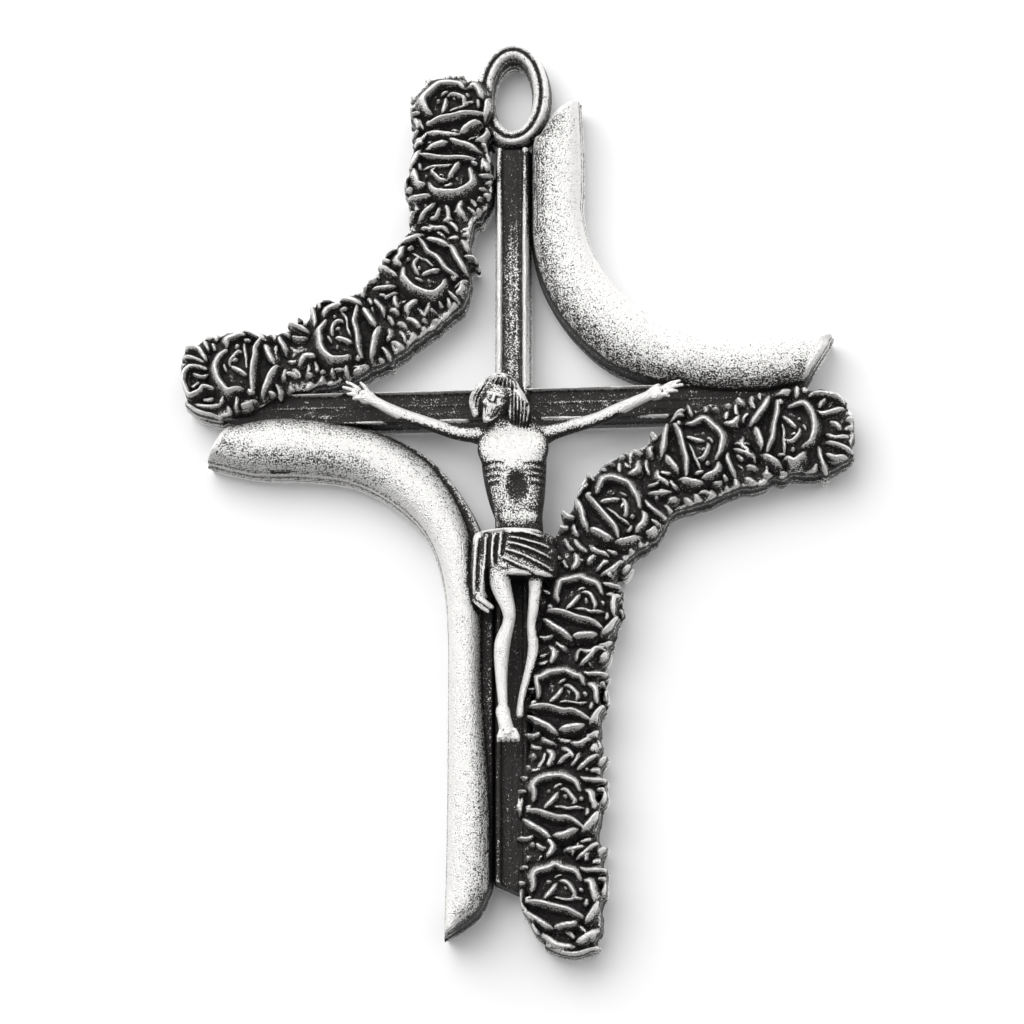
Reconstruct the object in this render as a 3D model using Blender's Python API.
"""Small cast crucifix pendant with rose garlands, plain bands and a hanging eye.

Metres, +Z up. The front faces -Y and the flat back lies in one XZ plane. The origin is
the centre of the hanging eye. Dimensions below are in millimetres and are scaled by MM.
"""

from math import cos, degrees, pi, radians, sin, sqrt

import bmesh
import bpy
from mathutils import Matrix, Vector

MM = 0.001
SMOOTH_ANGLE = 35.0
CUT_MARGIN = 1.0

# Levels along Y: the back is +Y, the front is -Y.
BACK = 1.0
FACE = -1.0
LAP = 0.0
GAP = 0.05

# Cross bars.
BAR_WIDTH = 1.9
RIM_WIDTH = 0.42
CHANNEL_DEPTH = 0.3
CHANNEL_SLOPE = 0.12
UPRIGHT_TOP = -3.12
UPRIGHT_BOTTOM = -44.0
CROSSBAR_Z = -18.1
CROSSBAR_REACH = 15.2

# Hanging eye: an oval ring, its centreline half sizes and its section.
EYE_HALF_WIDTH = 1.58
EYE_HALF_HEIGHT = 2.53
EYE_RING_WIDTH = 1.0
EYE_FRONT = -0.95
EYE_GROOVE = 0.15
EYE_BEVEL = 0.17
EYE_STATIONS = 36

# Plain bands: a straight wall, then a domed front.
BAND_WALL = -0.3
BAND_CREST = -1.8
BAND_DOME_STEPS = 8
BAND_STATIONS = 22

# Garlands: a plate level with the bars, with roses and leaves standing on it.
ROSE_RADIUS = 1.62
ROSE_RISE = 1.15
ROSE_LOBES = 5
ROSE_LOBE_DEPTH = 0.08
ROSE_SIDES = 20
LEAF_HALF_LENGTH = 1.7
LEAF_RISE = 0.6
LEAF_WAIST = 0.3
LEAF_SPREAD = 0.9
LEAF_TIP_SPREAD = 0.35
LEAF_NOTCH = 0.3
LEAF_TOP = 0.72
BUD_SCALE = 0.45
BUD_TURN = 30.0

# Rose tiers from the plate up: share of the radius, share of the rise.
ROSE_TIERS = [(1.0, 0.0), (1.0, 0.45), (0.82, 0.62), (0.72, 0.86), (0.45, 0.8), (0.2, 1.0)]

# Nail heads.
NAIL_RADIUS = 0.3
NAIL_RISE = 0.25
NAIL_SIDES = 12
NAIL_TIERS = [(1.0, 0.0), (1.0, 0.4), (0.75, 0.85), (0.3, 1.0)]
PALM_FRONT = -1.95

# Figure.
FIGURE_BACK = FACE - GAP
FIGURE_GRAIN = 0.24
FIGURE_KEEP = 0.3
LIMB_SIDES = 10
LIMB_START = ((-0.9, 0.4), (-0.5, 0.85), (0.0, 1.0))
LIMB_MIDDLE = ((0.0, 1.0),)
LIMB_FINISH = ((0.0, 1.0), (0.5, 0.85), (0.9, 0.4))

# Room behind the figure, cut away so that it has a flat back on the bars.
BEHIND_LOW = (-12.0, FIGURE_BACK, -40.0)
BEHIND_HIGH = (12.0, BACK + CUT_MARGIN, -14.0)

# Seat cut in the lower band for the hanging end of the loincloth.
DRAPE_SEAT_LOW = (-2.45, -2.5, -30.1)
DRAPE_SEAT_HIGH = (-0.5, FACE - GAP / 2, -24.4)

UPPER_BAND_INNER = [
    (1.98, -1.58), (1.5, -2.35), (1.05, -3.0), (1.0, -6.3), (1.05, -8.9), (1.77, -11.7),
    (3.4, -14.3), (5.8, -16.3), (9.5, -17.45), (13.2, -17.75), (15.6, -17.35),
]
UPPER_BAND_OUTER = [
    (3.75, -0.35), (3.82, -1.9), (3.87, -3.4), (3.88, -5.6), (3.87, -7.2), (4.5, -9.6),
    (6.2, -12.0), (8.2, -13.5), (10.6, -14.5), (13.8, -14.95), (17.0, -14.8),
]
LOWER_BAND_INNER = [
    (-15.3, -18.9), (-12.6, -18.45), (-9.8, -18.75), (-6.9, -19.5), (-4.4, -21.0),
    (-2.7, -23.1), (-1.6, -25.4), (-1.05, -28.6), (-1.0, -34.0), (-1.0, -40.0), (-1.1, -44.0),
]
LOWER_BAND_OUTER = [
    (-16.5, -20.95), (-13.9, -21.6), (-11.2, -21.75), (-8.6, -22.2), (-6.3, -23.5),
    (-4.6, -25.3), (-3.75, -27.6), (-3.45, -30.4), (-3.4, -35.0), (-3.42, -40.5), (-3.5, -46.6),
]

UPPER_PLATE = [
    (-5.6, 0.2), (-4.8, 1.1), (-3.4, 1.35), (-2.4, 1.0), (-2.2, 0.0), (-2.15, -1.0),
    (-1.8, -2.0), (-1.05, -3.2), (-1.0, -6.4), (-1.9, -7.6), (-2.1, -9.8), (-2.2, -11.8),
    (-3.3, -13.3), (-5.6, -15.0), (-7.6, -16.2), (-9.8, -17.0), (-12.4, -17.6),
    (-13.8, -18.4), (-15.4, -18.6), (-17.2, -17.9), (-18.1, -16.3), (-18.0, -14.6),
    (-16.6, -13.6), (-14.5, -13.4), (-12.4, -13.6), (-10.6, -12.3), (-9.0, -11.7),
    (-7.5, -10.4), (-6.6, -8.8), (-5.6, -7.2), (-5.85, -4.6), (-5.5, -2.4),
]
LOWER_PLATE = [
    (17.4, -17.7), (18.15, -18.9), (18.1, -21.3), (16.8, -22.4), (14.7, -22.7),
    (12.4, -23.3), (10.5, -24.0), (8.8, -24.4), (7.7, -26.0), (6.3, -26.9), (5.6, -28.4),
    (5.5, -30.9), (4.8, -32.4), (4.75, -36.0), (4.65, -40.0), (4.7, -45.6), (4.2, -47.1),
    (2.9, -47.5), (1.6, -46.9), (0.9, -45.6), (0.6, -44.4), (0.4, -42.0), (0.45, -38.0),
    (1.0, -34.5), (1.6, -30.2), (2.0, -27.6), (2.7, -25.9), (3.5, -23.6), (4.6, -21.5),
    (6.3, -20.7), (7.6, -20.1), (8.8, -18.9), (10.6, -18.2), (12.4, -17.9), (14.0, -17.5),
    (15.6, -17.4),
]

# Roses: place of the heart (x, z) and the turn seen from the front, in degrees.
UPPER_ROSES = [
    (-3.2, -0.63, -74.0), (-3.72, -5.0, 88.0), (-4.86, -10.49, 47.0),
    (-9.3, -14.0, 11.0), (-14.82, -15.6, 0.0),
]
LOWER_ROSES = [
    (14.85, -20.32, 173.0), (10.05, -21.08, 194.0), (5.72, -24.16, 221.5),
    (3.85, -29.27, 255.0), (2.89, -34.15, 262.0), (2.65, -39.62, 259.5), (2.63, -44.27, 260.0),
]
# Sideways shift of a pair of leaf fans, by its number, where the figure needs the room.
UPPER_LEAF_SHIFTS = {}
LOWER_LEAF_SHIFTS = {4: 0.3}
BUDS = {
    "bud_upper_end": (-17.2, -16.7),
    "bud_lower_side_end": (17.25, -19.8),
    "bud_lower_foot_end": (2.9, -46.65),
}
NAILS = {"nail_head_left": (-7.85, -17.75), "nail_head_right": (7.6, -18.1)}


def clear_scene():
    for item in list(bpy.data.objects):
        bpy.data.objects.remove(item, do_unlink=True)


def metal(name, colour, roughness):
    material = bpy.data.materials.new(name)
    material.use_nodes = True
    shader = material.node_tree.nodes["Principled BSDF"]
    shader.inputs["Base Color"].default_value = (*colour, 1.0)
    shader.inputs["Metallic"].default_value = 1.0
    shader.inputs["Roughness"].default_value = roughness
    return material


def add_mesh(name, bm, material):
    bmesh.ops.recalc_face_normals(bm, faces=bm.faces)
    bmesh.ops.scale(bm, vec=(MM, MM, MM), verts=bm.verts)
    mesh = bpy.data.meshes.new(name)
    bm.to_mesh(mesh)
    bm.free()
    mesh.materials.append(material)
    mesh.shade_smooth()
    mesh.set_sharp_from_angle(angle=radians(SMOOTH_ANGLE))
    return mesh


def add_object(name, mesh, place=(0.0, 0.0, 0.0), turn=0.0, scale=1.0):
    item = bpy.data.objects.new(name, mesh)
    bpy.context.collection.objects.link(item)
    item.location = Vector(place) * MM
    item.rotation_euler = (0.0, -radians(turn), 0.0)
    item.scale = (scale, scale, scale)
    item.parent = bpy.data.objects.get("crucifix")
    return item


def extrude_loop(bm, loop, reach):
    """Close a flat loop of points into a face and push it along reach."""
    face = bm.faces.new([bm.verts.new(point) for point in loop])
    grown = bmesh.ops.extrude_face_region(bm, geom=[face])
    moved = [part for part in grown["geom"] if isinstance(part, bmesh.types.BMVert)]
    bmesh.ops.translate(bm, vec=reach, verts=moved)


def skin_loops(bm, loops):
    """Bridge equal loops of points in order and close both ends."""
    rings = [[bm.verts.new(point) for point in loop] for loop in loops]
    count = len(rings[0])
    for lower, upper in zip(rings, rings[1:]):
        for i in range(count):
            j = (i + 1) % count
            bm.faces.new((lower[i], lower[j], upper[j], upper[i]))
    bm.faces.new(rings[0])
    bm.faces.new(rings[-1])


def smooth_path(points, count):
    """Read count points at even parameter steps from a Catmull-Rom curve."""
    last = len(points) - 1
    path = []
    for step in range(count):
        place = last * step / (count - 1)
        i = min(int(place), last - 1)
        t = place - i
        ring = [Vector(points[min(max(k, 0), last)]) for k in range(i - 1, i + 3)]
        a, b, c, d = ring
        path.append(0.5 * (2 * b + (c - a) * t + (2 * a - 5 * b + 4 * c - d) * t * t
                           + (3 * b - a - 3 * c + d) * t * t * t))
    return path


def box_cutter(name, low, high):
    """A hidden box that a Boolean takes away from its neighbours."""
    bm = bmesh.new()
    loop = [(low[0], low[1], low[2]), (high[0], low[1], low[2]),
            (high[0], high[1], low[2]), (low[0], high[1], low[2])]
    extrude_loop(bm, loop, (0.0, 0.0, high[2] - low[2]))
    mesh = bpy.data.meshes.new(name)
    bmesh.ops.recalc_face_normals(bm, faces=bm.faces)
    bmesh.ops.scale(bm, vec=(MM, MM, MM), verts=bm.verts)
    bm.to_mesh(mesh)
    bm.free()
    cutter = bpy.data.objects.new(name, mesh)
    bpy.context.collection.objects.link(cutter)
    cutter.hide_render = True
    cutter.display_type = "WIRE"
    cutter.parent = bpy.data.objects.get("crucifix")
    return cutter


def cut(item, cutter):
    modifier = item.modifiers.new("cut_" + cutter.name, "BOOLEAN")
    modifier.operation = "DIFFERENCE"
    modifier.solver = "EXACT"
    modifier.object = cutter


def bar_section():
    """Half widths and levels of a bar: two rims with a shallow channel between."""
    half = BAR_WIDTH / 2
    inner = half - RIM_WIDTH
    floor = inner - CHANNEL_SLOPE
    low = FACE + CHANNEL_DEPTH
    return [(-half, BACK), (half, BACK), (half, FACE), (inner, FACE),
            (floor, low), (-floor, low), (-inner, FACE), (-half, FACE)]


def make_upright(material):
    bm = bmesh.new()
    loop = [(x, y, UPRIGHT_BOTTOM) for x, y in bar_section()]
    extrude_loop(bm, loop, (0.0, 0.0, UPRIGHT_TOP - UPRIGHT_BOTTOM))
    return add_object("upright", add_mesh("upright", bm, material))


def make_crossbar(material):
    bm = bmesh.new()
    loop = [(-CROSSBAR_REACH, y, CROSSBAR_Z + z) for z, y in bar_section()]
    extrude_loop(bm, loop, (2 * CROSSBAR_REACH, 0.0, 0.0))
    return add_object("crossbar", add_mesh("crossbar", bm, material))


def make_eye(material):
    """Oval ring whose front has two ridges with a groove between them."""
    half = EYE_RING_WIDTH / 2
    flat = half - EYE_BEVEL
    section = [(-half, BACK - EYE_BEVEL), (-half, EYE_FRONT + EYE_BEVEL), (-flat, EYE_FRONT),
               (0.0, EYE_FRONT + EYE_GROOVE), (flat, EYE_FRONT),
               (half, EYE_FRONT + EYE_BEVEL), (half, BACK - EYE_BEVEL), (flat, BACK),
               (-flat, BACK)]
    bm = bmesh.new()
    rings = []
    for i in range(EYE_STATIONS):
        angle = 2 * pi * i / EYE_STATIONS
        centre = Vector((EYE_HALF_WIDTH * cos(angle), 0.0, EYE_HALF_HEIGHT * sin(angle)))
        outward = Vector((EYE_HALF_HEIGHT * cos(angle), 0.0, EYE_HALF_WIDTH * sin(angle)))
        outward.normalize()
        rings.append([bm.verts.new(centre + outward * r + Vector((0.0, y, 0.0)))
                      for r, y in section])
    count = len(section)
    for i in range(EYE_STATIONS):
        here, after = rings[i], rings[(i + 1) % EYE_STATIONS]
        for j in range(count):
            k = (j + 1) % count
            bm.faces.new((here[j], here[k], after[k], after[j]))
    return add_object("hanging_eye", add_mesh("hanging_eye", bm, material))


def make_band(name, inner, outer, material):
    """A band between two edge curves: flat back, straight walls, domed front."""
    bm = bmesh.new()
    loops = []
    near_path = smooth_path(inner, BAND_STATIONS)
    far_path = smooth_path(outer, BAND_STATIONS)
    for near, far in zip(near_path, far_path):
        loop = [(far.x, BACK, far.y), (near.x, BACK, near.y)]
        for step in range(BAND_DOME_STEPS + 1):
            across = step / BAND_DOME_STEPS
            lift = sqrt(max(0.0, 1.0 - (2 * across - 1.0) ** 2))
            point = near.lerp(far, across)
            loop.append((point.x, BAND_WALL + (BAND_CREST - BAND_WALL) * lift, point.y))
        loops.append(loop)
    skin_loops(bm, loops)
    return add_object(name, add_mesh(name, bm, material))


def make_plate(name, outline, material):
    bm = bmesh.new()
    extrude_loop(bm, [(x, BACK, z) for x, z in outline], (0.0, FACE - BACK, 0.0))
    return add_object(name, add_mesh(name, bm, material))


def rose_mesh(material):
    """Lobed tiers that step in towards the heart, each tier turned by half a petal."""
    bm = bmesh.new()
    loops = []
    for rank, (size, rise) in enumerate(ROSE_TIERS):
        loop = []
        for side in range(ROSE_SIDES):
            angle = 2 * pi * side / ROSE_SIDES
            wave = (1.0 - cos(ROSE_LOBES * angle + pi * (rank // 2))) / 2
            radius = ROSE_RADIUS * size * (1.0 - ROSE_LOBE_DEPTH * wave)
            loop.append((radius * cos(angle), -ROSE_RISE * rise, radius * sin(angle)))
        loops.append(loop)
    skin_loops(bm, loops)
    return add_mesh("rose", bm, material)


def leaf_mesh(material):
    """Two opposed fans of leaves: wide at both ends, narrow at the waist, ridged on top."""
    notch = -LEAF_HALF_LENGTH + LEAF_NOTCH
    ends = [(-LEAF_SPREAD, notch), (-LEAF_TIP_SPREAD, -LEAF_HALF_LENGTH), (0.0, notch),
            (LEAF_TIP_SPREAD, -LEAF_HALF_LENGTH), (LEAF_SPREAD, notch), (LEAF_WAIST, 0.0)]
    outline = ends + [(-x, -z) for x, z in ends]
    bm = bmesh.new()
    loops = [[(x, 0.0, z) for x, z in outline],
             [(x, -LEAF_RISE / 2, z) for x, z in outline],
             [(x * LEAF_TOP, -LEAF_RISE, z * LEAF_TOP) for x, z in outline]]
    skin_loops(bm, loops)
    return add_mesh("leaves", bm, material)


def leaf_place(start, end):
    """Middle of the gap between two roses, and the turn that lays the fans across it."""
    run = Vector((end[0] - start[0], end[1] - start[1]))
    turn = -degrees(Vector((1.0, 0.0)).angle_signed(run))
    return (start[0] + run.x / 2, FACE - GAP, start[1] + run.y / 2), turn


def make_garland(title, roses, rose, leaves, shifts):
    stand = FACE - GAP
    for number, (x, z, turn) in enumerate(roses, 1):
        add_object(f"rose_{title}_{number}", rose, (x, stand, z), turn)
    for number, (start, end) in enumerate(zip(roses, roses[1:]), 1):
        place, turn = leaf_place(start, end)
        place = (place[0] + shifts.get(number, 0.0), place[1], place[2])
        add_object(f"leaves_{title}_{number}", leaves, place, turn)


def nail_mesh(material):
    bm = bmesh.new()
    loops = []
    for size, rise in NAIL_TIERS:
        loops.append([(NAIL_RADIUS * size * cos(2 * pi * i / NAIL_SIDES), -NAIL_RISE * rise,
                       NAIL_RADIUS * size * sin(2 * pi * i / NAIL_SIDES))
                      for i in range(NAIL_SIDES)])
    skin_loops(bm, loops)
    return add_mesh("nail_head", bm, material)


def limb(bm, points, radii, sides=LIMB_SIDES, depth=1.0):
    """A limb through points, with a half width at each, rounded ends and a depth ratio."""
    places = [Vector(point) for point in points]
    loops = []
    for i, place in enumerate(places):
        before = places[max(i - 1, 0)]
        after = places[min(i + 1, len(places) - 1)]
        along = (after - before).normalized()
        turn = along.to_track_quat("Z", "Y").to_matrix()
        for shift, size in end_steps(i, len(places)):
            centre = place + along * shift * radii[i]
            loop = [turn @ Vector((radii[i] * size * cos(2 * pi * k / sides),
                                   radii[i] * size * sin(2 * pi * k / sides), 0.0))
                    for k in range(sides)]
            loops.append([centre + Vector((arm.x, arm.y * depth, arm.z)) for arm in loop])
    skin_loops(bm, loops)


def end_steps(index, count):
    """Extra loops that round off the first and last point of a limb."""
    if index == 0:
        return LIMB_START
    if index == count - 1:
        return LIMB_FINISH
    return LIMB_MIDDLE


def blob(bm, centre, size):
    grown = bmesh.ops.create_icosphere(bm, subdivisions=3, radius=1.0)
    bmesh.ops.transform(bm, verts=grown["verts"],
                        matrix=Matrix.Translation(centre) @ Matrix.Diagonal((*size, 1.0)))


def shape_head(bm):
    blob(bm, (-0.65, -2.15, -18.15), (1.05, 0.95, 1.3))
    blob(bm, (-0.15, -1.95, -18.7), (1.15, 0.85, 1.2))


def shape_trunk(bm):
    limb(bm, [(0.05, -1.7, -20.0), (0.1, -1.9, -21.5), (0.2, -1.75, -23.2), (0.3, -1.65, -24.8),
              (0.2, -1.7, -26.4)], [1.6, 1.5, 1.25, 1.2, 1.5], 14, 0.72)
    limb(bm, [(-1.4, -1.6, -19.9), (1.5, -1.6, -19.9)], [0.6, 0.6])


def shape_arms(bm):
    """Both arms from the shoulder to the fingertips, the one at -X raised more."""
    widths = [0.55, 0.42, 0.38, 0.42, 0.32, 0.45, 0.3]
    limb(bm, [(-1.5, -1.6, -19.85), (-3.0, -1.55, -19.45), (-4.5, -1.5, -18.95),
              (-6.0, -1.5, -18.45), (-7.4, -1.5, -17.95), (-8.0, -1.5, -17.65),
              (-8.8, -1.45, -17.3)], widths)
    limb(bm, [(1.6, -1.6, -19.85), (3.2, -1.55, -19.6), (4.7, -1.5, -19.2), (6.2, -1.5, -18.7),
              (7.4, -1.5, -18.2), (8.0, -1.5, -18.0), (9.0, -1.45, -17.8)], widths)


def shape_cloth(bm):
    """The loincloth round the hips and its end hanging down at -X."""
    limb(bm, [(0.15, -1.75, -25.7), (0.15, -1.85, -26.6), (0.2, -1.75, -27.6)],
         [2.05, 2.2, 1.95], 16, 0.55)
    limb(bm, [(-1.55, -1.7, -26.0), (-1.75, -1.6, -27.8), (-1.7, -1.5, -29.4)],
         [0.6, 0.55, 0.45])


def shape_legs(bm):
    """Two legs that meet at the ankles, and the crossed feet."""
    limb(bm, [(-0.75, -1.8, -28.0), (-0.15, -1.95, -29.9), (-0.45, -1.7, -32.0),
              (-0.5, -1.6, -34.4), (-0.35, -1.7, -35.4)], [0.9, 0.62, 0.62, 0.4, 0.42])
    limb(bm, [(1.1, -1.7, -28.0), (1.0, -1.8, -29.9), (0.95, -1.55, -32.0),
              (0.45, -1.45, -34.6)], [0.85, 0.6, 0.55, 0.38])
    limb(bm, [(-0.3, -1.75, -35.2), (-0.15, -1.75, -36.6)], [0.45, 0.55])


def make_figure(material):
    """The figure on the cross, one fused solid with a flat back."""
    bm = bmesh.new()
    shape_head(bm)
    shape_trunk(bm)
    shape_arms(bm)
    shape_cloth(bm)
    shape_legs(bm)
    figure = add_object("figure", add_mesh("figure", bm, material))
    fuse = figure.modifiers.new("fuse", "REMESH")
    fuse.mode = "VOXEL"
    fuse.voxel_size = FIGURE_GRAIN * MM
    thin = figure.modifiers.new("thin", "DECIMATE")
    thin.ratio = FIGURE_KEEP
    cut(figure, box_cutter("figure_back", BEHIND_LOW, BEHIND_HIGH))


def make_bars(material):
    """The two bars, halved into each other where they cross."""
    half = BAR_WIDTH / 2
    upright = make_upright(material)
    crossbar = make_crossbar(material)
    lap_low = (-half - CUT_MARGIN, LAP - GAP / 2, CROSSBAR_Z - half - GAP)
    lap_high = (half + CUT_MARGIN, BACK + CUT_MARGIN, CROSSBAR_Z + half + GAP)
    cut(upright, box_cutter("lap_behind", lap_low, lap_high))
    lap_low = (-half - GAP, FACE - CUT_MARGIN, CROSSBAR_Z - half - CUT_MARGIN)
    lap_high = (half + GAP, LAP + GAP / 2, CROSSBAR_Z + half + CUT_MARGIN)
    cut(crossbar, box_cutter("lap_in_front", lap_low, lap_high))


def make_room_for_bars(items):
    """Cut the bars and their gap away from the pieces beside them."""
    half = BAR_WIDTH / 2
    back = BACK + CUT_MARGIN
    crossbar_room = box_cutter("crossbar_room",
                               (-CROSSBAR_REACH - GAP, FACE - GAP, CROSSBAR_Z - half - GAP),
                               (CROSSBAR_REACH + GAP, back, CROSSBAR_Z + half + GAP))
    upright_room = box_cutter("upright_room", (-half - GAP, FACE - GAP, UPRIGHT_BOTTOM - GAP),
                              (half + GAP, back, UPRIGHT_TOP + GAP))
    for item in items:
        cut(item, crossbar_room)
        cut(item, upright_room)


def main():
    clear_scene()
    root = bpy.data.objects.new("crucifix", None)
    bpy.context.collection.objects.link(root)

    worn = metal("worn_silver", (0.76, 0.74, 0.72), 0.38)
    aged = metal("aged_silver", (0.3, 0.29, 0.28), 0.5)
    relief = metal("relief_silver", (0.5, 0.48, 0.46), 0.42)

    make_bars(aged)
    make_eye(worn)
    upper_band = make_band("upper_band", UPPER_BAND_INNER, UPPER_BAND_OUTER, worn)
    lower_band = make_band("lower_band", LOWER_BAND_INNER, LOWER_BAND_OUTER, worn)
    upper_plate = make_plate("upper_garland_plate", UPPER_PLATE, aged)
    lower_plate = make_plate("lower_garland_plate", LOWER_PLATE, aged)
    make_room_for_bars([upper_band, lower_band, upper_plate, lower_plate])

    rose = rose_mesh(relief)
    leaves = leaf_mesh(relief)
    make_garland("upper", UPPER_ROSES, rose, leaves, UPPER_LEAF_SHIFTS)
    make_garland("lower", LOWER_ROSES, rose, leaves, LOWER_LEAF_SHIFTS)
    for name, (x, z) in BUDS.items():
        add_object(name, rose, (x, FACE - GAP, z), BUD_TURN, BUD_SCALE)
    nail = nail_mesh(worn)
    for name, (x, z) in NAILS.items():
        add_object(name, nail, (x, PALM_FRONT - GAP, z))

    cut(lower_band, box_cutter("drape_seat", DRAPE_SEAT_LOW, DRAPE_SEAT_HIGH))
    make_figure(worn)


main()
